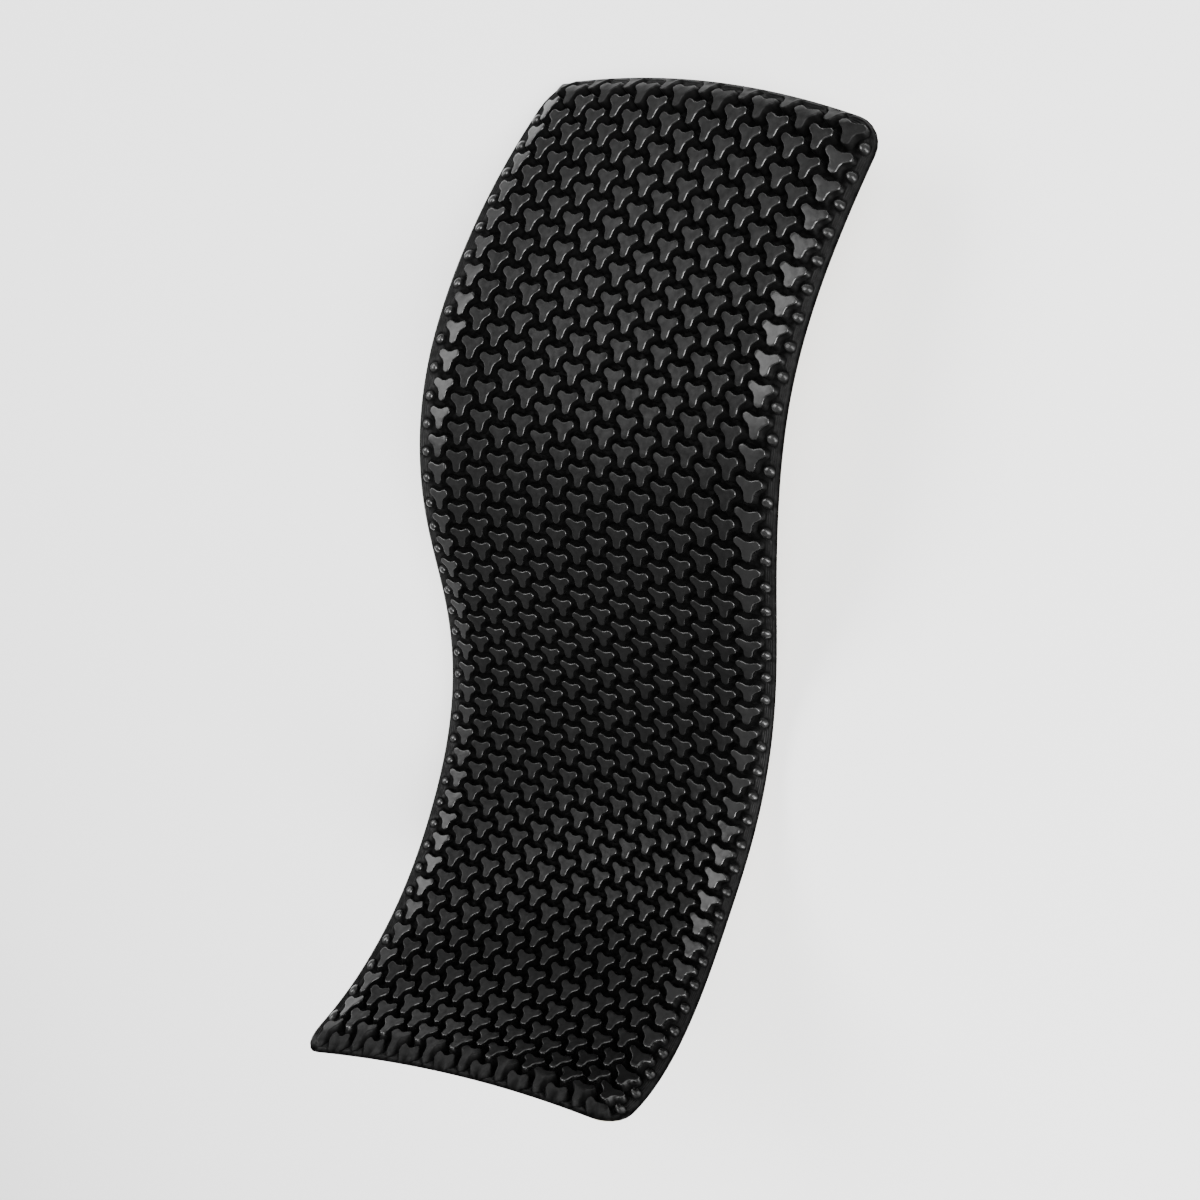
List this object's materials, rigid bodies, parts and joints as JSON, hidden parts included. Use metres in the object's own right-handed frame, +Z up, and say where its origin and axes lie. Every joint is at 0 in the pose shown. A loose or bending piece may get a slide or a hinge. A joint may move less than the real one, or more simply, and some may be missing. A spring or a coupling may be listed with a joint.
{
  "type": "snowboard stomp pad",
  "caption": "Flexible studded traction mat with an adhesive back and a split release liner, resting in a relaxed S-wave.",
  "frame": {"origin": "centre of the bounding box on the ground plane that the pad's backed side lies on", "axes": "+Y along the pad from its curled near end to its far end, +X across the pad, +Z up, out of the studded face"},
  "size_m": [0.1034, 0.2296, 0.0655],
  "materials": {
    "moulded_rubber": "satin black moulded rubber, smooth stud tops with soft highlights",
    "adhesive": "pale translucent pressure-sensitive adhesive film, soft sheen",
    "liner_paper": "off-white siliconised release paper, low sheen"
  },
  "bodies": {
    "release_liner": {"liner_near_half": "liner_paper", "liner_far_half": "liner_paper"},
    "pad": {"traction_mat": "moulded_rubber", "adhesive_film": "adhesive"}
  },
  "joints": [
    {"name": "pad_lift", "type": "slide", "parent": "release_liner", "child": "pad", "axis": [0, 0.4226, 0.9063], "range_m": [0, 0.09]}
  ]
}
